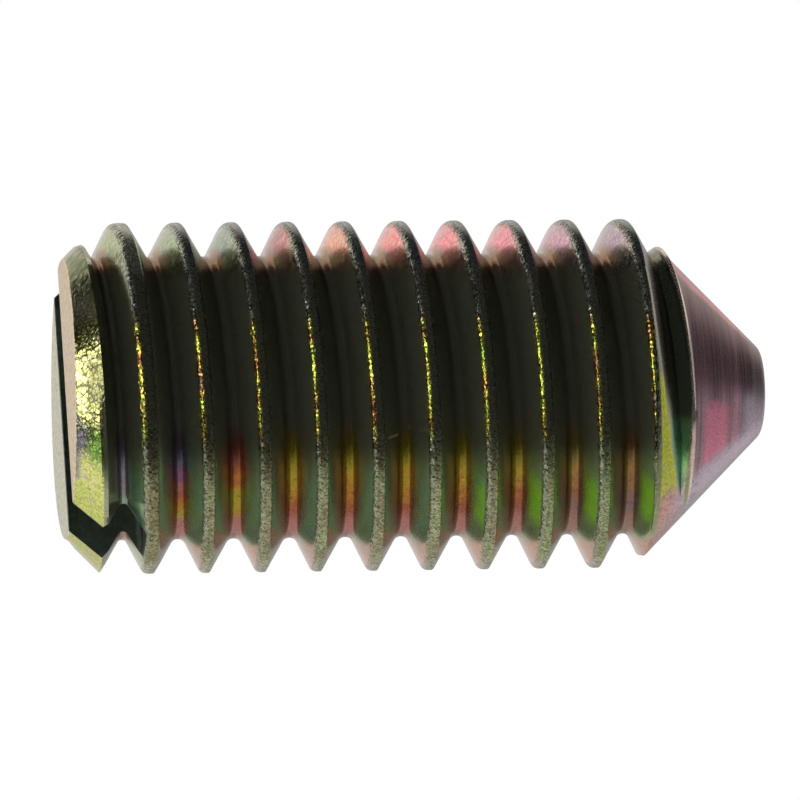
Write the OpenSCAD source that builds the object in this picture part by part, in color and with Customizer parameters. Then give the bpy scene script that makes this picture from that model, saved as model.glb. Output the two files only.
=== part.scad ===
/* [Thread] */
// Thread diameter over the crests
thread_d = 7.8; // [7.7:0.02:8]
// Axial distance from one crest to the next
pitch = 1.25; // [1.2:0.05:1.5]
// Depth of the thread, from the crest to the root
thread_depth = 0.76; // [0.6:0.02:0.78]
// Width of the flat land on the crest
crest_land = 0.24; // [0.16:0.02:0.3]
// Angle between the two flanks of a groove
flank_angle = 60; // [50:1:60]
// Height of the groove above the end face on the +X side
thread_start = -0.09; // [-0.3:0.01:0.3]

/* [Body] */
// Overall length, from the slotted end to the tip
length = 15.66; // [12:0.02:20]
// Diameter of the flat slotted end, inside its chamfer
end_face_d = 6.2; // [5.6:0.05:6.2]
// Angle of the end chamfer, from the end face
end_chamfer_angle = 45; // [35:1:50]

/* [Slot] */
// Width of the screwdriver slot
slot_w = 1.2; // [1:0.05:1.5]
// Depth of the screwdriver slot
slot_depth = 1.6; // [1.2:0.05:2.5]
// Radius at the foot of the slot's walls
slot_foot_r = 0.12; // [0.05:0.01:0.3]

/* [Point] */
// Full angle of the cone point
cone_angle = 90; // [80:1:100]
// Diameter of the blunt tip, before its edge is rounded
tip_d = 1.9; // [1.6:0.05:2.2]
// Radius that rounds the edge of the tip
tip_round = 0.35; // [0.2:0.05:0.5]

/* [Hidden] */

zinc_yellow = [0.66, 0.62, 0.42];
crest_r = thread_d / 2;
root_r = crest_r - thread_depth;
end_r = end_face_d / 2;
tip_r = tip_d / 2;
half_cone = cone_angle / 2;
chamfer_h = (crest_r - end_r) * tan(end_chamfer_angle);
cone_h = (crest_r - tip_r) / tan(half_cone);

// centre of the arc that rounds the tip, and where it leaves the cone
round_x = tip_r - tip_round * tan((90 - half_cone) / 2);
round_z = length - tip_round;
cone_end = [round_x + tip_round * cos(half_cone), round_z + tip_round * sin(half_cone)];

// the groove is cut a little past the crest, so its flanks run clean through
over = 0.12;
turn_steps = 36;
half_crest = (pitch - crest_land) / 2;
half_root = half_crest - thread_depth * tan(flank_angle / 2);
half_over = half_crest + over * tan(flank_angle / 2);
// whole turns, from below the end face to clear of the cone
first_turn = -1;
last_turn = ceil((length - 1.6) / pitch);
steps = (last_turn - first_turn) * turn_steps;

// section of the groove at one step of the right-hand helix
function groove_section(i) =
    let (
        turn = first_turn + i / turn_steps,
        a = turn * 360,
        z = thread_start + turn * pitch,
        ri = root_r,
        ro = crest_r + over
    )
    [
        [ri * cos(a), ri * sin(a), z - half_root],
        [ri * cos(a), ri * sin(a), z + half_root],
        [ro * cos(a), ro * sin(a), z + half_over],
        [ro * cos(a), ro * sin(a), z - half_over]
    ];

// closed solid of the space between two turns of the thread
module thread_groove() {
    points = [for (i = [0:steps]) each groove_section(i)];
    walls = [
        for (i = [0:steps - 1], k = [0:3])
            let (a = 4 * i + k, b = 4 * i + (k + 1) % 4)
            each [[a, b + 4, b], [a, a + 4, b + 4]]
    ];
    ends = [[0, 1, 2, 3], [for (k = [3:-1:0]) 4 * steps + k]];
    polyhedron(points = points, faces = concat(walls, ends), convexity = 16);
}

// half section of the turned blank: slotted end, chamfer, shank, cone, rounded tip
module blank_section() {
    polygon([
        [0, 0],
        [end_r, 0],
        [crest_r, chamfer_h],
        [crest_r, length - cone_h],
        cone_end,
        [round_x, length],
        [0, length]
    ]);
    translate([round_x, round_z])
        circle(r = tip_round, $fn = 64);
}

module blank() {
    rotate_extrude($fn = 120)
        blank_section();
}

// section of the slot, with its two feet rounded
module slot_section() {
    polygon([
        [-slot_w / 2, -1],
        [slot_w / 2, -1],
        [slot_w / 2, slot_depth - slot_foot_r],
        [slot_w / 2 - slot_foot_r, slot_depth],
        [-slot_w / 2 + slot_foot_r, slot_depth],
        [-slot_w / 2, slot_depth - slot_foot_r]
    ]);
    for (s = [-1, 1])
        translate([s * (slot_w / 2 - slot_foot_r), slot_depth - slot_foot_r])
            circle(r = slot_foot_r, $fn = 48);
}

// sawn slot, open at the end face and at both sides, along X
module slot() {
    rotate([90, 0, 90])
        linear_extrude(thread_d + 2, center = true)
            slot_section();
}

module set_screw() {
    color(zinc_yellow)
        difference() {
            blank();
            thread_groove();
            slot();
        }
}

set_screw();
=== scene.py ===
import math

import bmesh
import bpy
import numpy as np
from mathutils import Matrix, Vector


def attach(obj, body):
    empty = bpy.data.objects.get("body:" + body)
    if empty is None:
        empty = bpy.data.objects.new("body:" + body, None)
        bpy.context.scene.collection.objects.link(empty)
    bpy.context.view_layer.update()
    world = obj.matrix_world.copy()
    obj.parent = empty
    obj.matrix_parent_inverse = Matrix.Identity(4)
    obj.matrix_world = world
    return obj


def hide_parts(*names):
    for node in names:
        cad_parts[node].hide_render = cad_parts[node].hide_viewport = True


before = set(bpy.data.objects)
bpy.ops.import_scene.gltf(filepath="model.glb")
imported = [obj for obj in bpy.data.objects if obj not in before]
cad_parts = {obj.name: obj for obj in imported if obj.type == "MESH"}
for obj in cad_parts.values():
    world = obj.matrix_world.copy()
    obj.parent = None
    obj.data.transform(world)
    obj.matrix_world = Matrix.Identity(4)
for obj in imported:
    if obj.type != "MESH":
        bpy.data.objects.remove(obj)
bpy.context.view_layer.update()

scene = bpy.context.scene
MM = 0.001


# --------------------------------------------------------------------------
# Sizes, in millimetres, as in the part's source
# --------------------------------------------------------------------------
CREST_R = 3.9
ROOT_R = 3.14
PITCH = 1.25
START = -0.09
LENGTH = 15.66
END_R = 3.1
CONE_Z = 12.71
TIP_ROUND = 0.35
SLOT_W = 1.2
SLOT_D = 1.6
SLOT_FOOT = 0.12


# --------------------------------------------------------------------------
# Camera: solved from the photograph's outline
# --------------------------------------------------------------------------
PSI = math.radians(31.6)
YAW = math.radians(7.39)
EL = math.radians(-0.09)
ROLL = math.radians(0.62)
DIST = 187.8
PX_PER_MM = 44.794
TARGET = Vector((0, 0, 8.0))
TARGET_PX = (420.4, 395.4)

down = Vector((math.cos(PSI), math.sin(PSI), 0))
side = Vector((math.sin(PSI), -math.cos(PSI), 0))
axis = Vector((0, 0, 1))
e_x = math.cos(YAW) * axis + math.sin(YAW) * side
e_z = math.cos(EL) * (math.cos(YAW) * side - math.sin(YAW) * axis) - math.sin(EL) * down
e_y = math.cos(EL) * down + math.sin(EL) * (math.cos(YAW) * side - math.sin(YAW) * axis)
e_right = math.cos(ROLL) * e_x + math.sin(ROLL) * e_y
e_down = math.cos(ROLL) * e_y - math.sin(ROLL) * e_x

cam_data = bpy.data.cameras.new("camera")
cam = bpy.data.objects.new("camera", cam_data)
scene.collection.objects.link(cam)
cam_data.sensor_fit = "HORIZONTAL"
cam_data.sensor_width = 36.0
cam_data.lens = PX_PER_MM * DIST * 36.0 / 800
cam_data.shift_x = -(TARGET_PX[0] - 400) / 800
cam_data.shift_y = (TARGET_PX[1] - 400) / 800
cam_data.clip_start = 0.01
cam_data.clip_end = 10
rot = Matrix((e_right, -e_down, e_z)).transposed()
cam.matrix_world = Matrix.Translation((TARGET + DIST * e_z) * MM) @ rot.to_4x4()
scene.camera = cam


# --------------------------------------------------------------------------
# Shape: one skin over thread, chamfer, cone and tip
# --------------------------------------------------------------------------
def smin(a, b, k):
    h = np.clip(0.5 + 0.5 * (b - a) / k, 0, 1)
    return b * (1 - h) + a * h - k * h * (1 - h)


def fillet(p0, p1, p2, radius, n):
    """Points of the arc that rounds the corner p1 between p0 and p2."""
    p0, p1, p2 = (np.array(p, float) for p in (p0, p1, p2))
    a = (p0 - p1) / np.linalg.norm(p0 - p1)
    b = (p2 - p1) / np.linalg.norm(p2 - p1)
    half = math.acos(np.clip(a @ b, -1, 1)) / 2
    t = radius / math.tan(half)
    bis = (a + b) / np.linalg.norm(a + b)
    centre = p1 + bis * radius / math.sin(half)
    start, end = p1 + a * t, p1 + b * t
    v0, v1 = start - centre, end - centre
    turn = math.atan2(v0[0] * v1[1] - v0[1] * v1[0], v0 @ v1)
    out = []
    for i in range(n + 1):
        w = turn * i / n
        c, s = math.cos(w), math.sin(w)
        out.append(centre + [c * v0[0] - s * v0[1], s * v0[0] + c * v0[1]])
    return out


# Half of one groove, from its middle (u = 0) to the middle of the crest (u = pitch / 2).
# The rolled crest is wide on the first turn and narrower further up, and its edge
# towards the slotted end (u > 0) is the rounder one.
ROOT_FLAT = 0.5 * (PITCH - 0.20) - (CREST_R - ROOT_R) * math.tan(math.radians(28.5))
ROOT_FILLET = 0.19
LEAN = 0.03


def profile_half(land, crest_fillet, sgn):
    half_crest = (PITCH - land) / 2 - LEAN * sgn
    half_root = ROOT_FLAT - (land - 0.20) / 2
    flank = math.atan2(half_crest - half_root, CREST_R - ROOT_R)
    corner_root = (half_root, ROOT_R)
    corner_crest = (half_crest, CREST_R)
    top = (PITCH / 2 - LEAN * sgn, CREST_R)
    pts = [np.array((0.0, ROOT_R))]
    reach = half_root / math.tan((math.pi / 2 - flank) / 2) * 0.97
    pts += fillet((0, ROOT_R), corner_root, corner_crest, min(ROOT_FILLET, reach), 5)
    a = pts[-1]
    arc = fillet(corner_root, corner_crest, top, crest_fillet, 5)
    for i in range(1, 3):
        pts.append(a + (arc[0] - a) * i / 3)
    pts += arc
    pts.append((arc[-1] + np.array(top)) / 2)
    pts.append(np.array(top))
    return np.array(pts)


LAND_WIDE, LAND_THIN = 0.29, 0.19
WIDE = {1: profile_half(LAND_WIDE, 0.16, 1), -1: profile_half(LAND_WIDE, 0.05, -1)}
THIN = {1: profile_half(LAND_THIN, 0.15, 1), -1: profile_half(LAND_THIN, 0.04, -1)}
PER_TURN = 2 * (len(WIDE[1]) - 1)
COLS = 232


def land_mix(turn):
    """1 on the first turn, 0 from the third on."""
    t = np.clip((turn - 0.9) / 1.5, 0, 1)
    return 1 - t * t * (3 - 2 * t)


def node_offset(j, turn):
    """Axial place of row j of a turn, measured from the middle of its groove."""
    n = PER_TURN // 2
    k = np.abs(j - n)
    w = land_mix(turn)
    up = w * WIDE[1][k, 0] + (1 - w) * THIN[1][k, 0]
    lo = w * WIDE[-1][k, 0] + (1 - w) * THIN[-1][k, 0]
    return np.where(j > n, up, -lo)


def thread_radius(u, turn):
    u = (u + PITCH / 2 + LEAN) % PITCH - PITCH / 2 - LEAN
    w = land_mix(turn)
    out = []
    for sgn in (1, -1):
        a = np.interp(np.abs(u), WIDE[sgn][:, 0], WIDE[sgn][:, 1])
        b = np.interp(np.abs(u), THIN[sgn][:, 0], THIN[sgn][:, 1])
        out.append(w * a + (1 - w) * b)
    return np.where(u > 0, out[0], out[1])


def smooth(x, lo, hi):
    t = np.clip((x - lo) / (hi - lo), 0, 1)
    return t * t * (3 - 2 * t)


def body_radius(z, phi):
    """The skin's radius: thread, chamfer and cone, and the thread's run-out on the cone."""
    u = z - START - PITCH * phi / (2 * math.pi)
    turn = (z - START) / PITCH
    r = thread_radius(u, turn)
    # the last groove presses deeper as it leaves the cone, and lifts a small lip
    deg = np.degrees(phi) % 360
    along = np.where(deg < 120, deg + 360, deg)
    centre = START + PITCH * (10 + along / 360)
    extra = 0.27 * smooth(along, 205, 292) * (1 - smooth(along, 300, 400))
    low = ROOT_R - extra
    v = np.abs(z - centre)
    v = np.where(z > centre, np.maximum(v - 0.3 * extra, 0), v)
    last = np.maximum(low, low + (v - 0.085) / math.tan(math.radians(28.5)))
    last = low + np.sqrt(np.maximum(last - low, 0) ** 2 + 0.02 ** 2) - 0.02
    r = np.where((z > 12.2) & (extra > 0.001), np.minimum(r, last), r)
    ridge = centre + 0.2 - 0.1 * smooth(along, 200, 300)
    lip = 0.10 * smooth(along, 120, 190) * (1 - smooth(along, 230, 330)) * np.exp(-((z - ridge) / 0.12) ** 2)
    r = smin(r, END_R + z, 0.06)
    r = smin(r, CREST_R - (z - CONE_Z) + lip, 0.06)
    return np.minimum(r, CREST_R)


def build_body():
    bm = bmesh.new()
    phi = np.arange(COLS) * 2 * math.pi / COLS
    z_low, z_high = 0.022, 13.962
    first = int(math.floor((z_low - START) / PITCH)) - 2
    last = int(math.ceil((z_high - START) / PITCH)) + 1
    row = np.arange((last - first + 1) * PER_TURN)
    turn = first + row // PER_TURN
    lead = PITCH * phi[None, :] / (2 * math.pi)
    middle = START + PITCH * turn[:, None] + lead
    Z = middle + node_offset((row % PER_TURN)[:, None], (middle - START) / PITCH)
    Z = np.clip(Z, z_low, z_high)
    R = body_radius(Z, phi[None, :])
    keys = {}
    grid = np.empty(Z.shape, object)
    for j in range(Z.shape[0]):
        for i in range(COLS):
            key = (i, round(Z[j, i], 6))
            v = keys.get(key)
            if v is None:
                v = bm.verts.new((R[j, i] * math.cos(phi[i]) * MM, R[j, i] * math.sin(phi[i]) * MM, Z[j, i] * MM))
                keys[key] = v
            grid[j, i] = v

    def face(*vs):
        out = []
        for v in vs:
            if v not in out:
                out.append(v)
        if len(out) > 2:
            try:
                bm.faces.new(out)
            except ValueError:
                pass

    rows = Z.shape[0]
    for j in range(rows - 1):
        for i in range(COLS - 1):
            face(grid[j, i], grid[j, i + 1], grid[j + 1, i + 1], grid[j + 1, i])
    # the seam: column 0 one turn higher continues the last column
    for j in range(rows - 1):
        a = grid[min(j + PER_TURN, rows - 1), 0]
        b = grid[min(j + 1 + PER_TURN, rows - 1), 0]
        face(grid[j, COLS - 1], a, b, grid[j + 1, COLS - 1])
    # column 0 has one turn below what the last column reaches
    low_ring = [keys[(i, round(z_low, 6))] for i in range(COLS)]
    high_ring = [keys[(i, round(z_high, 6))] for i in range(COLS)]

    def ring(r, z):
        return [bm.verts.new((r * math.cos(p) * MM, r * math.sin(p) * MM, z * MM)) for p in phi]

    def bridge(a, b, up=True):
        for i in range(COLS):
            k = (i + 1) % COLS
            if up:
                bm.faces.new((a[i], a[k], b[k], b[i]))
            else:
                bm.faces.new((a[k], a[i], b[i], b[k]))

    # cone, rounded edge of the tip, tip
    prev = high_ring
    for t in np.linspace(0, 1, 13)[1:-1]:
        z = z_high + (15.5575 - z_high) * t
        cur = ring(CREST_R - (z - CONE_Z), z)
        bridge(prev, cur)
        prev = cur
    cx, cz = 0.805, LENGTH - TIP_ROUND
    for a in np.linspace(45, 88, 8):
        cur = ring(cx + TIP_ROUND * math.cos(math.radians(a)), cz + TIP_ROUND * math.sin(math.radians(a)))
        bridge(prev, cur)
        prev = cur
    for r in (0.78, 0.6, 0.4, 0.2):
        cur = ring(r, LENGTH)
        bridge(prev, cur)
        prev = cur
    tip = bm.verts.new((0, 0, LENGTH * MM))
    for i in range(COLS):
        bm.faces.new((prev[i], prev[(i + 1) % COLS], tip))
    # slotted end: a small round edge, then the flat
    prev = low_ring
    for r, z in ((3.112, 0.012), (3.1, 0.005), (3.083, 0.001), (3.062, 0.0), (2.4, 0.0), (1.6, 0.0), (0.8, 0.0)):
        cur = ring(r, z)
        bridge(prev, cur, up=False)
        prev = cur
    foot = bm.verts.new((0, 0, 0))
    for i in range(COLS):
        bm.faces.new((prev[(i + 1) % COLS], prev[i], foot))
    loose = [v for v in bm.verts if not v.link_faces]
    bmesh.ops.delete(bm, geom=loose, context="VERTS")
    bmesh.ops.recalc_face_normals(bm, faces=bm.faces)
    me = bpy.data.meshes.new("screw_body")
    bm.to_mesh(me)
    bm.free()
    ob = bpy.data.objects.new("screw_body", me)
    scene.collection.objects.link(ob)
    return ob


def build_slot_cutter():
    """The slot as the saw cuts it: rounded feet, and its mouth broken by a fine edge."""
    w = SLOT_W / 2
    edge = 0.02
    prof = [(-w - edge - 0.02, -0.02), (-w, edge)]
    prof += [tuple(p) for p in fillet((-w, edge), (-w, SLOT_D), (w, SLOT_D), SLOT_FOOT, 8)]
    prof += [tuple(p) for p in fillet((-w, SLOT_D), (w, SLOT_D), (w, edge), SLOT_FOOT, 8)]
    prof += [(w, edge), (w + edge + 0.02, -0.02)]
    prof += [(w + edge + 0.02, -0.6), (-w - edge - 0.02, -0.6)]
    bm = bmesh.new()
    x0, x1 = -4.6, 4.6
    a = [bm.verts.new((x0 * MM, y * MM, z * MM)) for y, z in prof]
    b = [bm.verts.new((x1 * MM, y * MM, z * MM)) for y, z in prof]
    n = len(prof)
    for i in range(n):
        bm.faces.new((a[i], a[(i + 1) % n], b[(i + 1) % n], b[i]))
    bm.faces.new(a)
    bm.faces.new(b)
    bmesh.ops.recalc_face_normals(bm, faces=bm.faces)
    me = bpy.data.meshes.new("slot_cutter")
    bm.to_mesh(me)
    bm.free()
    ob = bpy.data.objects.new("slot_cutter", me)
    scene.collection.objects.link(ob)
    return ob


body = build_body()
cutter = build_slot_cutter()
mod = body.modifiers.new("slot", "BOOLEAN")
mod.operation = "DIFFERENCE"
mod.solver = "MANIFOLD"
mod.object = cutter
dg = bpy.context.evaluated_depsgraph_get()
cut = bpy.data.meshes.new_from_object(body.evaluated_get(dg))
body.modifiers.clear()
old = body.data
body.data = cut
bpy.data.meshes.remove(old)
cutter_mesh = cutter.data
bpy.data.objects.remove(cutter)
bpy.data.meshes.remove(cutter_mesh)

bm = bmesh.new()
bm.from_mesh(body.data)
bmesh.ops.remove_doubles(bm, verts=bm.verts, dist=1e-7)
for f in bm.faces:
    f.smooth = True
sharp = 0
for e in bm.edges:
    if len(e.link_faces) == 2:
        e.smooth = e.calc_face_angle(0) < math.radians(32)
        sharp += not e.smooth
open_edges = sum(1 for e in bm.edges if len(e.link_faces) != 2)
tris = sum(len(f.verts) - 2 for f in bm.faces)
print("screw_body", len(bm.verts), "verts", tris, "triangles", open_edges, "open edges", sharp, "sharp edges")
bm.to_mesh(body.data)
bm.free()
body.data.name = "screw_body"


# --------------------------------------------------------------------------
# Node helpers
# --------------------------------------------------------------------------
class Graph:
    def __init__(self, tree):
        self.tree = tree
        tree.nodes.clear()

    def node(self, kind, **props):
        n = self.tree.nodes.new(kind)
        for k, v in props.items():
            setattr(n, k, v)
        return n

    def put(self, socket, value):
        if hasattr(value, "is_output"):
            self.tree.links.new(value, socket)
        else:
            socket.default_value = value

    def math(self, op, a, b=None, c=None, clamp=False):
        n = self.node("ShaderNodeMath", operation=op, use_clamp=clamp)
        self.put(n.inputs[0], a)
        if b is not None:
            self.put(n.inputs[1], b)
        if c is not None:
            self.put(n.inputs[2], c)
        return n.outputs[0]

    def vec(self, op, a, b=None):
        n = self.node("ShaderNodeVectorMath", operation=op)
        self.put(n.inputs[0], a)
        if b is not None:
            if op == "SCALE":
                self.put(n.inputs["Scale"], b)
            else:
                self.put(n.inputs[1], b)
        return n.outputs["Value"] if op in ("DOT_PRODUCT", "LENGTH") else n.outputs["Vector"]

    def xyz(self, v):
        n = self.node("ShaderNodeSeparateXYZ")
        self.put(n.inputs[0], v)
        return n.outputs[0], n.outputs[1], n.outputs[2]

    def join(self, x, y, z):
        n = self.node("ShaderNodeCombineXYZ")
        for s, v in zip(n.inputs, (x, y, z)):
            self.put(s, v)
        return n.outputs[0]

    def noise(self, v, scale, detail=2.0, rough=0.5, distort=0.0, kind="FBM"):
        n = self.node("ShaderNodeTexNoise")
        self.put(n.inputs["Vector"], v)
        self.put(n.inputs["Scale"], scale)
        n.inputs["Detail"].default_value = detail
        n.inputs["Roughness"].default_value = rough
        n.inputs["Distortion"].default_value = distort
        return n.outputs[0]

    def voronoi(self, v, scale, feature="F1", rand=1.0, out="Distance"):
        n = self.node("ShaderNodeTexVoronoi", feature=feature)
        self.put(n.inputs["Vector"], v)
        self.put(n.inputs["Scale"], scale)
        n.inputs["Randomness"].default_value = rand
        return n.outputs[out]

    def step(self, x, lo, hi, a=0.0, b=1.0):
        n = self.node("ShaderNodeMapRange", interpolation_type="SMOOTHSTEP")
        self.put(n.inputs[0], x)
        for s, v in zip(n.inputs[1:5], (lo, hi, a, b)):
            self.put(s, v)
        return n.outputs[0]

    def ramp(self, x, stops, mode="LINEAR"):
        n = self.node("ShaderNodeValToRGB")
        r = n.color_ramp
        r.interpolation = mode
        while len(r.elements) > len(stops):
            r.elements.remove(r.elements[-1])
        while len(r.elements) < len(stops):
            r.elements.new(1.0)
        for e, (p, c) in zip(r.elements, stops):
            e.position = p
        for e, (p, c) in zip(r.elements, stops):
            e.position = p
            e.color = (*c, 1.0) if len(c) == 3 else c
        self.put(n.inputs[0], x)
        return n.outputs[0]

    def mixv(self, fac, a, b):
        n = self.node("ShaderNodeMix", data_type="VECTOR", clamp_factor=True)
        self.put(n.inputs[0], fac)
        self.put(n.inputs[4], a)
        self.put(n.inputs[5], b)
        return n.outputs[1]

    def mix(self, fac, a, b, blend="MIX"):
        n = self.node("ShaderNodeMix", data_type="RGBA", blend_type=blend, clamp_factor=True)
        self.put(n.inputs[0], fac)
        self.put(n.inputs[6], a if hasattr(a, "is_output") else (*a, 1.0))
        self.put(n.inputs[7], b if hasattr(b, "is_output") else (*b, 1.0))
        return n.outputs[2]


def lin(r, g, b):
    """sRGB 0..255 to linear."""
    def f(c):
        c /= 255
        return c / 12.92 if c <= 0.04045 else ((c + 0.055) / 1.055) ** 2.4
    return (f(r), f(g), f(b))


# --------------------------------------------------------------------------
# Yellow passivated zinc
# --------------------------------------------------------------------------
def zinc_material():
    mat = bpy.data.materials.new("zinc_yellow_steel")
    mat.use_nodes = True
    g = Graph(mat.node_tree)
    step = g.step

    def mul(first, *rest):
        for v in rest:
            first = g.math("MULTIPLY", first, v)
        return first

    def add(first, *rest):
        for v in rest:
            first = g.math("ADD", first, v)
        return first

    def sub(a, b):
        return g.math("SUBTRACT", a, b)

    def most(a, b):
        return g.math("MAXIMUM", a, b)

    def size(a):
        return g.math("ABSOLUTE", a)

    def between(v, a, b, c, d):
        """0 below a, 1 from b to c, 0 above d."""
        return mul(step(v, a, b), step(v, d, c))

    co = g.node("ShaderNodeTexCoord").outputs["Object"]
    p = g.vec("SCALE", co, 1000.0)
    x, y, z = g.xyz(p)
    r = g.math("SQRT", add(mul(x, x), mul(y, y)))
    # angle round the screw, in degrees: 0 on the front, 90 below it in the picture
    front = g.vec("DOT_PRODUCT", p, tuple(side))
    low = g.vec("DOT_PRODUCT", p, tuple(down))
    th = mul(g.math("ARCTAN2", low, front), 180 / math.pi)
    # place across the groove, in pitches: above 0 the flank faces the slotted end
    lead = g.math("DIVIDE", g.math("ARCTAN2", y, x), 2 * math.pi)
    u = sub(g.math("FRACT", add(sub(g.math("DIVIDE", sub(z, START), PITCH), lead), 4.5)), 0.5)
    faces_slot = step(u, -0.03, 0.03)

    coarse = g.noise(p, 1.3, 2.0, 0.55)                      # patches about 0.8 mm across
    mid = g.noise(p, 5.0, 2.0, 0.6)
    grain = g.noise(p, 17.0, 3.0, 0.7)
    pitn = g.noise(p, 10.0, 2.0, 0.6)
    dcoarse, dmid, dgrain = sub(coarse, 0.5), sub(mid, 0.5), sub(grain, 0.5)
    ragged = g.vec("ADD", p, g.join(mul(dgrain, 0.10), mul(dmid, 0.10), mul(dgrain, -0.10)))
    crack = g.voronoi(ragged, 8.5, "DISTANCE_TO_EDGE")

    # zones, with soft and slightly ragged borders
    rw = add(r, mul(dgrain, 0.10))
    crest = step(rw, 3.80, 3.86)
    edge = mul(step(rw, 3.74, 3.80), step(r, 3.897, 3.885), faces_slot)
    root = step(add(r, mul(dgrain, 0.16)), 3.31, 3.17)
    cham_r = size(sub(r, add(z, END_R)))
    chamfer = mul(step(cham_r, 0.06, 0.03), step(z, 0.86, 0.80), step(z, 0.008, 0.02))
    cone_r = size(sub(r, sub(CREST_R + CONE_Z, z)))
    on_cone = mul(step(cone_r, 0.08, 0.04), step(z, 12.68, 12.76))
    beyond = sub(z, add(13.58, mul(th, 0.003)))              # past the last groove or before it
    near = between(add(th, mul(dmid, 14.0)), -125.0, -105.0, 54.0, 64.0)
    facet = mul(on_cone, step(beyond, 0.05, -0.05), near)
    cone = most(mul(on_cone, sub(1.0, facet)), step(z, 14.0, 14.04))
    last = mul(sub(1.0, on_cone), step(z, 13.10, 13.25))
    # how far the cone lies inside the flank before it, and inside the two sides of the last groove
    from_flank = sub(add(ROOT_R, mul(sub(mul(u, PITCH), 0.127), 1.84)), r)
    ridge = mul(on_cone, faces_slot, step(from_flank, 0.42, 0.30))
    pressed = mul(step(th, -96.6, -9.6), step(th, 98.4, -1.6), 0.27)
    off = mul(u, PITCH)
    inner = sub(add(sub(ROOT_R, pressed), mul(sub(mul(off, -1.0), 0.085), 1.84)), r)
    outer = sub(add(sub(ROOT_R, pressed), mul(sub(sub(off, mul(pressed, 0.3)), 0.085), 1.84)), r)
    end = step(z, 0.03, 0.012)
    in_slot = mul(step(size(y), SLOT_W / 2 + 0.03, SLOT_W / 2 + 0.015), step(z, SLOT_D + 0.02, SLOT_D + 0.01))
    top_side = step(add(low, mul(dmid, 0.9)), -2.50, -3.05)
    low_side = between(add(th, mul(dcoarse, 14.0)), 14.0, 32.0, 110.0, 150.0)
    behind = step(size(th), 100.0, 135.0)

    # roots: the film runs through gold, orange, red, magenta and lilac
    s01 = step(th, 20.0, 68.0)
    first = step(z, 5.0, 2.2)
    film = size(sub(mul(first, 0.95), mul(s01, add(0.55, mul(first, 0.6)))))
    film = add(film, mul(dmid, 0.5), mul(dcoarse, 0.45), step(z, 9.2, 12.0, 0.0, 0.22))
    root_c = g.ramp(film, [
        (0.00, (0.25, 0.20, 0.02)),
        (0.12, (0.28, 0.17, 0.02)),
        (0.26, (0.28, 0.11, 0.02)),
        (0.42, (0.24, 0.06, 0.03)),
        (0.58, (0.21, 0.08, 0.07)),
        (0.76, (0.15, 0.05, 0.11)),
        (0.98, (0.11, 0.10, 0.14)),
    ])
    root_c = g.mix(step(z, 1.8, 1.4), root_c, g.mix(step(th, 40.0, 47.0), (0.16, 0.14, 0.16), (0.20, 0.26, 0.17)))
    root_c = g.mix(between(th, 52.0, 62.0, 100.0, 130.0), root_c, (0.30, 0.12, 0.10))
    root_c = g.mix(step(z, 9.0, 12.0, 0.0, 0.4), root_c, (0.12, 0.13, 0.08))
    root_c = g.mix(between(th, -110.0, -90.0, 8.0, 20.0), root_c, (0.19, 0.19, 0.14))
    root_c = g.mix(between(th, -125.0, -100.0, -66.0, -56.0), root_c, (0.20, 0.10, 0.05))
    root_c = g.mix(mul(behind, 0.8), root_c, (0.36, 0.26, 0.10))
    root_c = g.mix(mul(step(pitn, 0.58, 0.68), step(th, 20.0, 30.0), 0.55), root_c, (0.10, 0.05, 0.03))

    # flanks
    left = step(add(z, mul(dcoarse, 1.0)), 9.1, 8.5)
    oval = mul(between(add(th, mul(dmid, 8.0)), 27.0, 37.0, 46.0, 58.0), between(rw, 3.24, 3.42, 3.80, 3.86))
    green = g.mix(mul(oval, step(z, 8.3, 9.1)), (0.24, 0.35, 0.18), (0.31, 0.70, 0.06))
    green = g.mix(mul(left, step(mid, 0.46, 0.60)), green, (0.19, 0.40, 0.29))
    brown = g.mix(step(coarse, 0.38, 0.66), (0.28, 0.30, 0.20), (0.30, 0.28, 0.20))
    low_flank = g.mix(faces_slot, brown, green)
    salmon = g.mix(step(mid, 0.36, 0.66), (0.60, 0.28, 0.22), (0.36, 0.30, 0.22))
    salmon = g.mix(step(z, 2.9, 2.3), salmon, (0.44, 0.46, 0.32))
    pale_green = g.mix(step(mid, 0.44, 0.60), (0.22, 0.26, 0.20), (0.24, 0.18, 0.17))
    low_flank = g.mix(step(add(low, mul(dmid, 0.7)), 3.12, 3.32), low_flank, g.mix(faces_slot, pale_green, salmon))
    top_flank = g.ramp(add(g.math("DIVIDE", z, LENGTH), mul(dmid, 0.06)), [
        (0.00, (0.33, 0.40, 0.15)),
        (0.09, (0.38, 0.45, 0.26)),
        (0.22, (0.23, 0.34, 0.25)),
        (0.265, (0.28, 0.29, 0.24)),
        (0.30, (0.46, 0.13, 0.17)),
        (0.38, (0.86, 0.36, 0.25)),
        (0.48, (0.94, 0.24, 0.28)),
        (0.62, (0.82, 0.24, 0.31)),
        (0.72, (0.50, 0.28, 0.39)),
        (0.82, (0.34, 0.27, 0.33)),
    ])
    # painted shade: the top flank turns near black below the lit hump, where the next crest blocks its light
    top_flank = g.mix(mul(step(add(low, mul(dmid, 0.3)), -3.42, -3.05), 0.75), top_flank, (0.07, 0.05, 0.04))
    pale = mul(step(add(mid, mul(sub(r, 3.6), 0.5)), 0.52, 0.60), 0.5)
    top_flank = g.mix(pale, top_flank, (0.44, 0.40, 0.27))
    deep = step(add(r, mul(dmid, 0.45)), 3.42, 3.22)
    top_flank = g.mix(mul(deep, 0.85), top_flank, g.mix(step(mid, 0.45, 0.60), (0.36, 0.17, 0.09), (0.24, 0.22, 0.17)))
    back_flank = g.ramp(add(mul(coarse, 0.8), mul(mid, 0.2)), [
        (0.36, (0.32, 0.42, 0.20)),
        (0.46, (0.46, 0.44, 0.18)),
        (0.54, (0.52, 0.34, 0.20)),
        (0.64, (0.42, 0.26, 0.32)),
    ])
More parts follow.
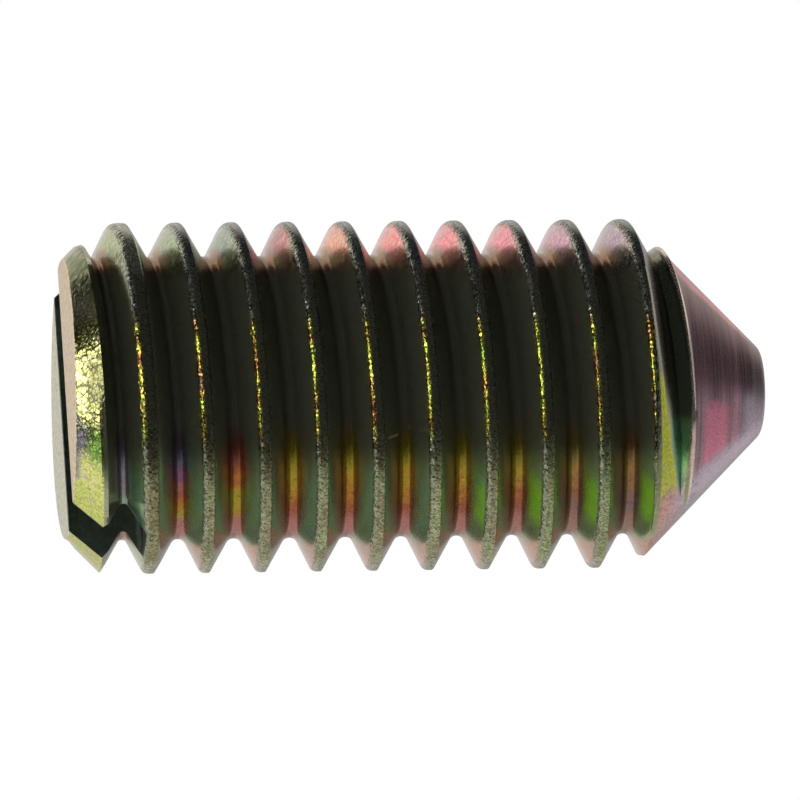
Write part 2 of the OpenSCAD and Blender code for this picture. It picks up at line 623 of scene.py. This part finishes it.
    # painted light: on the front the flank facing the point is given a lighter colour than the one facing the slotted
    # end, to make up for the dimmer light it gets
    front_c = g.mix(faces_slot, (0.34, 0.36, 0.24), (0.24, 0.25, 0.17))
    flank_c = g.mix(behind, front_c, back_flank)
    # painted shade: the flank facing the point in the last groove is near black on the front and top, where it lies in
    # shade
    gully_shade = mul(sub(1.0, faces_slot), step(z, 12.30, 12.45), between(th, -125.0, -100.0, -6.0, 10.0))
    flank_c = g.mix(gully_shade, flank_c, (0.05, 0.05, 0.04))
    flank_c = g.mix(low_side, flank_c, low_flank)
    flank_c = g.mix(mul(top_side, faces_slot), flank_c, top_flank)
    halo = mul(step(rw, 3.40, 3.22), between(th, 16.0, 24.0, 32.0, 46.0), between(z, 2.9, 3.5, 6.0, 9.0))
    flank_c = g.mix(mul(halo, 0.65), flank_c, (0.42, 0.12, 0.06))
    olive = mul(faces_slot, step(z, 3.2, 2.0), between(low, -3.2, -2.8, -1.8, -1.0), step(r, 3.45, 3.65))
    flank_c = g.mix(mul(olive, 0.1), flank_c, (0.50, 0.46, 0.28))

    # crests: worn grey-olive, darker on the front as painted shade and paler along the top and bottom outline as
    # painted light, and gold, green or orange along the rounder edge
    crest_c = g.mix(step(coarse, 0.42, 0.58), (0.29, 0.31, 0.16), (0.23, 0.21, 0.12))
    crest_c = g.mix(step(z, 3.4, 2.2, 0.0, 0.5), crest_c, (0.16, 0.14, 0.06))
    crest_c = g.mix(step(z, 9.0, 11.0, 0.0, 0.6), crest_c, (0.21, 0.26, 0.12))
    # painted shade: the crests are darker on the front and upper side, where they reflect the dim room
    crest_c = g.mix(step(add(th, mul(dmid, 10.0)), 22.0, 8.0), crest_c, (0.15, 0.16, 0.11))
    crest_c = g.mix(top_side, crest_c, (0.14, 0.155, 0.15))
    crest_c = g.mix(mul(top_side, step(z, 1.7, 1.4)), crest_c, (0.34, 0.36, 0.29))
    # painted light: the crests are paler along the bottom and top outline, where the bright backdrop bleeds over them
    crest_c = g.mix(mul(between(th, 62.0, 78.0, 104.0, 125.0), 0.6), crest_c, (0.52, 0.51, 0.44))
    crest_c = g.mix(mul(between(th, -125.0, -104.0, -80.0, -68.0), 0.5), crest_c, (0.46, 0.45, 0.42))
    crest_c = g.mix(behind, crest_c, g.mix(0.5, back_flank, (0.24, 0.24, 0.16)))
    edge_c = g.ramp(add(mul(coarse, 0.75), mul(mid, 0.25)), [
        (0.36, (0.20, 0.34, 0.04)),
        (0.44, (0.50, 0.56, 0.08)),
        (0.52, (0.62, 0.50, 0.08)),
        (0.60, (0.58, 0.20, 0.04)),
        (0.68, (0.44, 0.42, 0.34)),
    ])
    edge_c = g.mix(step(th, -22.0, -30.0), edge_c, (0.36, 0.37, 0.30))
    edge_c = g.mix(step(th, 10.0, 18.0), edge_c, (0.27, 0.29, 0.18))

    colour = g.mix(root, flank_c, root_c)
    green_run = g.mix(between(th, 8.0, 16.0, 30.0, 44.0), (0.13, 0.15, 0.10), (0.28, 0.62, 0.22))
    green_run = g.mix(mul(step(off, -0.02, -0.10), step(th, 6.0, 14.0)), green_run, (0.13, 0.30, 0.19))
    colour = g.mix(last, colour, green_run)
    colour = g.mix(crest, colour, crest_c)
    colour = g.mix(mul(edge, step(size(th), 75.0, 55.0)), colour, edge_c)
    # chamfer: olive yellow, with violet and green patches
    cham_c = g.ramp(add(mul(mid, 0.7), mul(coarse, 0.3)), [
        (0.30, (0.50, 0.46, 0.40)),
        (0.40, (0.60, 0.57, 0.28)),
        (0.50, (0.64, 0.65, 0.19)),
        (0.62, (0.52, 0.61, 0.17)),
    ])
    cham_c = g.mix(step(th, 30.0, 42.0, 0.0, 0.55), cham_c, (0.44, 0.48, 0.11))
    cham_c = g.mix(mul(between(add(th, mul(dmid, 12.0)), 8.0, 13.0, 17.0, 23.0), step(z, 0.30, 0.20), 0.9), cham_c, (0.27, 0.25, 0.30))
    cham_c = g.mix(mul(between(add(th, mul(dmid, 8.0)), 4.0, 9.0, 30.0, 36.0), step(z, 0.16, 0.06), 0.8), cham_c, (0.27, 0.25, 0.26))
    cham_c = g.mix(mul(between(th, 9.0, 14.0, 20.0, 27.0), step(z, 0.20, 0.34)), cham_c, (0.30, 0.52, 0.10))
    cham_c = g.mix(step(add(th, mul(dmid, 10.0)), -24.0, -34.0), cham_c, (0.50, 0.48, 0.29))
    cham_c = g.mix(mul(step(add(z, mul(dmid, 0.12)), 0.20, 0.30), between(add(th, mul(dmid, 6.0)), -18.0, -12.0, 1.0, 8.0), 0.85), cham_c, (0.12, 0.115, 0.04))
    cham_c = g.mix(mul(step(low, -1.9, -2.5), step(mid, 0.30, 0.60, 0.5, 1.0)), cham_c, (0.12, 0.145, 0.07))
    colour = g.mix(chamfer, colour, cham_c)
    # cone: plum and lavender, ringed by the turning tool, with painted shade on its upper front and on the front of the
    # tip's round edge
    swing = g.math("DIVIDE", low, most(r, 0.2))
    sway = g.math("DIVIDE", front, most(r, 0.2))
    rings = g.noise(g.join(mul(sway, 0.05), mul(swing, 0.126), mul(z, 3.4)), 1.0, 3.0, 0.65)
    cone_c = g.ramp(rings, [
        (0.36, (0.09, 0.05, 0.10)),
        (0.44, (0.19, 0.11, 0.15)),
        (0.52, (0.28, 0.18, 0.20)),
        (0.60, (0.42, 0.21, 0.29)),
        (0.68, (0.30, 0.21, 0.24)),
    ])
    cone_c = g.mix(mul(step(z, 14.9, 15.2), step(th, -8.0, 14.0), 0.75), cone_c, (0.42, 0.37, 0.42))
    # painted shade: the cone is near black on its upper front, where it reflects the dim room
    cone_c = g.mix(mul(between(th, -70.0, -56.0, -10.0, 8.0), 0.75), cone_c, (0.085, 0.05, 0.055))
    rose = mul(between(z, 13.95, 14.15, 14.45, 14.85), between(add(th, mul(dmid, 16.0), mul(dcoarse, 10.0)), 2.0, 12.0, 34.0, 50.0))
    cone_c = g.mix(mul(rose, 0.85), cone_c, (0.62, 0.20, 0.28))
    cone_c = g.mix(mul(between(add(th, mul(dmid, 6.0)), -150.0, -105.0, -66.0, -56.0), step(rings, 0.30, 0.50, 0.55, 1.0)), cone_c, (0.70, 0.25, 0.30))
    low_cone = g.mix(step(add(z, mul(dmid, 1.2)), 13.7, 13.1), (0.42, 0.35, 0.43), (0.50, 0.25, 0.23))
    low_cone = g.mix(mul(step(add(mul(pitn, 0.5), mul(mid, 0.5)), 0.52, 0.58), step(z, 14.2, 13.8), 0.6), low_cone, (0.17, 0.12, 0.13))
    cone_c = g.mix(between(add(th, mul(dmid, 16.0)), 34.0, 48.0, 110.0, 150.0), cone_c, low_cone)
    # painted shade: the tip's round edge is darker on the front and top than behind
    cone_c = g.mix(mul(step(z, 15.2, 15.45), step(th, 25.0, 0.0, 0.15, 0.7)), cone_c, (0.13, 0.115, 0.115))
    cone_c = g.mix(mul(step(outer, 0.30, 0.22), faces_slot, step(z, 14.2, 14.1), near, 0.8), cone_c, (0.80, 0.68, 0.54))
    cone_c = g.mix(mul(behind, 0.5), cone_c, (0.40, 0.32, 0.24))
    cone_c = g.mix(step(r, 1.0, 0.75), cone_c, (0.26, 0.21, 0.22))
    colour = g.mix(cone, colour, cone_c)
    lime = g.mix(step(mid, 0.42, 0.58), (0.46, 0.50, 0.04), (0.46, 0.48, 0.10))
    lime = g.mix(step(add(th, mul(dmid, 14.0)), 32.0, 46.0), lime, low_cone)
    # painted shade: the facet by the last groove is near black on its upper side
    lime = g.mix(step(add(th, mul(dmid, 10.0)), -14.0, -4.0), (0.035, 0.035, 0.03), lime)
    lime = g.mix(mul(step(inner, 0.08, 0.04), sub(1.0, faces_slot), step(th, -2.0, -10.0)), lime, (0.26, 0.26, 0.22))
    lime = g.mix(ridge, lime, crest_c)
    colour = g.mix(facet, colour, lime)
    # slotted end: pale grey-green to pinkish beige
    end_c = g.mix(step(add(y, mul(dcoarse, 1.5)), -0.4, 0.4), (1.00, 0.78, 0.50), (0.82, 0.90, 0.70))
    end_c = g.mix(step(add(mul(mid, 0.5), mul(pitn, 0.5)), 0.40, 0.62, 0.05, 0.75), end_c, (0.50, 0.40, 0.25))
    colour = g.mix(end, colour, end_c)
    slot_c = g.mix(step(mid, 0.35, 0.65), (0.21, 0.26, 0.22), (0.30, 0.33, 0.27))
    colour = g.mix(in_slot, colour, slot_c)

    # grain everywhere, dark pits on the worn crests, dark cracks in the film on the chamfer and crest edges
    worn = most(most(crest, edge), mul(chamfer, step(th, 14.0, 30.0, 0.8, 0.35)))
    calm = most(mul(top_side, 0.9), mul(crest, most(mul(behind, 0.5), between(th, -80.0, -60.0, 4.0, 20.0)), 0.92))
    worn = mul(most(worn, mul(facet, 0.25)), sub(1.0, calm))
    speck = add(1.0, mul(dgrain, add(1.2, mul(worn, 2.2))), mul(sub(pitn, 0.5), add(mul(top_side, 1.8), mul(worn, 2.8))))
    colour = g.mix(1.0, colour, g.join(speck, speck, speck), "MULTIPLY")
    pits = step(pitn, 0.53, 0.61)
    colour = g.mix(mul(pits, worn, 0.7), colour, (0.04, 0.04, 0.03))
    flawed = mul(step(crack, step(add(mul(mid, 0.6), mul(coarse, 0.4)), 0.36, 0.62, 0.03, 0.32), 0.01), most(mul(edge, step(th, 24.0, 16.0)), mul(chamfer, between(th, -40.0, -24.0, 12.0, 30.0))))
    colour = g.mix(mul(flawed, 0.95), colour, (0.03, 0.03, 0.02))
    # one short scratch across a groove
    bend = add(15.0, mul(sub(z, 6.95), 3.0))
    scratch = mul(step(size(sub(th, bend)), 0.6, 0.25), between(z, 6.81, 6.86, 7.06, 7.12))
    colour = g.mix(mul(scratch, 0.8), colour, (0.60, 0.56, 0.42))

    # relief, in millimetres
    fine = sub(g.noise(p, 24.0, 1.0, 0.5), 0.5)
    beads = sub(g.noise(p, 9.0, 1.0, 0.5), 0.5)
    v_turn = g.join(mul(swing, 0.23), mul(sway, 0.1), mul(z, 8.0))
    v_saw = g.join(mul(x, 0.5), y, mul(z, 16.0))
    v_face = g.join(mul(r, 14.0), mul(swing, 0.23), mul(sway, 0.1))
    v_tool = g.mixv(in_slot, g.mixv(end, v_turn, v_face), v_saw)
    tool = sub(g.noise(v_tool, 1.0, 2.0, 0.6), 0.5)
    lifted = step(r, 3.80, 3.85)
    rounded = mul(step(r, 3.76, 3.80), step(r, 3.897, 3.885), faces_slot)
    lifted = mul(lifted, step(th, -30.0, -6.0, 0.2, 1.0))
    h = mul(fine, add(0.0012, mul(lifted, 0.0035)))
    h = add(h, mul(beads, add(mul(lifted, 0.007), mul(rounded, 0.026), mul(chamfer, 0.009))))
    h = add(h, mul(tool, add(mul(cone, 0.005), mul(in_slot, 0.012), mul(end, 0.006))))
    bump = g.node("ShaderNodeBump")
    bump.inputs["Strength"].default_value = 1.0
    bump.inputs["Distance"].default_value = 0.001
    g.put(bump.inputs["Height"], h)

    rough = step(grain, 0.30, 0.70, 0.15, 0.24)
    rough = add(rough, mul(crest, 0.08), mul(cone, 0.06), mul(end, 0.12), mul(in_slot, 0.2), mul(scratch, 0.35))
    sh = g.node("ShaderNodeBsdfPrincipled")
    g.put(sh.inputs["Base Color"], colour)
    sh.inputs["Metallic"].default_value = 0.86
    sh.inputs["Specular Tint"].default_value = (0.66, 0.62, 0.57, 1.0)
    g.put(sh.inputs["Roughness"], rough)
    g.put(sh.inputs["Normal"], bump.outputs[0])
    out = g.node("ShaderNodeOutputMaterial")
    g.put(out.inputs["Surface"], sh.outputs[0])
    return mat


zinc = zinc_material()
body.data.materials.clear()
body.data.materials.append(zinc)
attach(body, "root")
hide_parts("set_screw")


# --------------------------------------------------------------------------
# Studio: pale floor seen from above only, soft light all round
# --------------------------------------------------------------------------
def floor_material():
    mat = bpy.data.materials.new("pale_floor")
    mat.use_nodes = True
    g = Graph(mat.node_tree)
    co = g.node("ShaderNodeTexCoord").outputs["Object"]
    mottle = g.noise(g.vec("SCALE", co, 1000.0), 0.03, 2.0, 0.5)
    colour = g.ramp(mottle, [(0.0, (0.80, 0.80, 0.79)), (1.0, (0.86, 0.86, 0.85))])
    sh = g.node("ShaderNodeBsdfPrincipled")
    g.put(sh.inputs["Base Color"], colour)
    sh.inputs["Roughness"].default_value = 0.9
    clear = g.node("ShaderNodeBsdfTransparent")
    back = g.node("ShaderNodeNewGeometry").outputs["Backfacing"]
    mix = g.node("ShaderNodeMixShader")
    g.put(mix.inputs[0], back)
    g.put(mix.inputs[1], sh.outputs[0])
    g.put(mix.inputs[2], clear.outputs[0])
    out = g.node("ShaderNodeOutputMaterial")
    g.put(out.inputs["Surface"], mix.outputs[0])
    return mat


bm = bmesh.new()
bmesh.ops.create_grid(bm, x_segments=1, y_segments=1, size=0.6)
me = bpy.data.meshes.new("floor")
bm.to_mesh(me)
bm.free()
floor = bpy.data.objects.new("floor", me)
scene.collection.objects.link(floor)
floor.location = (0, 0, -0.00002)
floor.data.materials.append(floor_material())
floor.visible_glossy = False

# a soft lamp overhead that only lights the floor
lamp = bpy.data.lights.new("floor_light", "AREA")
lamp.size = 0.30
lamp.energy = 1.1
lamp_ob = bpy.data.objects.new("floor_light", lamp)
scene.collection.objects.link(lamp_ob)
lamp_ob.location = (0.04, -0.03, 0.32)
lit = bpy.data.collections.new("lit_by_floor_light")
lit.objects.link(floor)
lamp_ob.light_linking.receiver_collection = lit


world = bpy.data.worlds.new("studio")
scene.world = world
world.use_nodes = True
g = Graph(world.node_tree)
d = g.node("ShaderNodeTexCoord").outputs["Generated"]
to_cam = g.vec("DOT_PRODUCT", d, tuple(side))
to_low = g.vec("DOT_PRODUCT", d, tuple(down))
to_tip = g.vec("DOT_PRODUCT", d, tuple(axis))
# a bright half space behind and below the screw in the picture, a dim room in front of and
# above it, and less light from beyond the point
table = tuple((down - side).normalized())
soft = g.step(to_low, 0.0, 0.5, 0.06, 0.38)
sky = g.step(g.vec("DOT_PRODUCT", d, table), -0.02, soft)
upper = g.step(to_low, 0.0, -0.35, 1.0, 1.35)
beyond = g.step(g.vec("DOT_PRODUCT", d, tuple(axis)), 0.60, 0.95, 1.0, 0.55)
bright = g.math("ADD", g.math("MULTIPLY", g.math("MULTIPLY", g.math("MULTIPLY", sky, 1.1), upper), beyond), 0.03)
rim = g.math("MULTIPLY", g.step(to_tip, 0.0, 0.12), g.step(to_cam, -0.75, -0.93, 0.0, 0.42))
bright = g.math("MULTIPLY", bright, g.math("SUBTRACT", 1.0, rim))
# a bright card off the slotted end, a little to the front
card = g.vec("DOT_PRODUCT", d, tuple((-0.978 * axis + 0.172 * side - 0.115 * down).normalized()))
card = g.step(card, math.cos(math.radians(17)), math.cos(math.radians(13)))
bright = g.math("ADD", bright, g.math("MULTIPLY", card, 5.6))
# and a faint glow round that card
glow = g.step(g.vec("DOT_PRODUCT", d, tuple(-axis)), 0.45, 0.90, 0.0, 0.035)
bright = g.math("ADD", bright, glow)
lp = g.node("ShaderNodeLightPath").outputs["Is Camera Ray"]
env = g.node("ShaderNodeBackground")
env.inputs["Color"].default_value = (1, 1, 1, 1)
g.put(env.inputs["Strength"], bright)
plain = g.node("ShaderNodeBackground")
plain.inputs["Color"].default_value = (1, 1, 1, 1)
plain.inputs["Strength"].default_value = 1.0
mixw = g.node("ShaderNodeMixShader")
g.put(mixw.inputs[0], lp)
g.put(mixw.inputs[1], env.outputs[0])
g.put(mixw.inputs[2], plain.outputs[0])
outw = g.node("ShaderNodeOutputWorld")
g.put(outw.inputs["Surface"], mixw.outputs[0])

scene.view_settings.view_transform = "Standard"
scene.view_settings.look = "None"
scene.view_settings.exposure = 0.0
scene.view_settings.gamma = 1.0
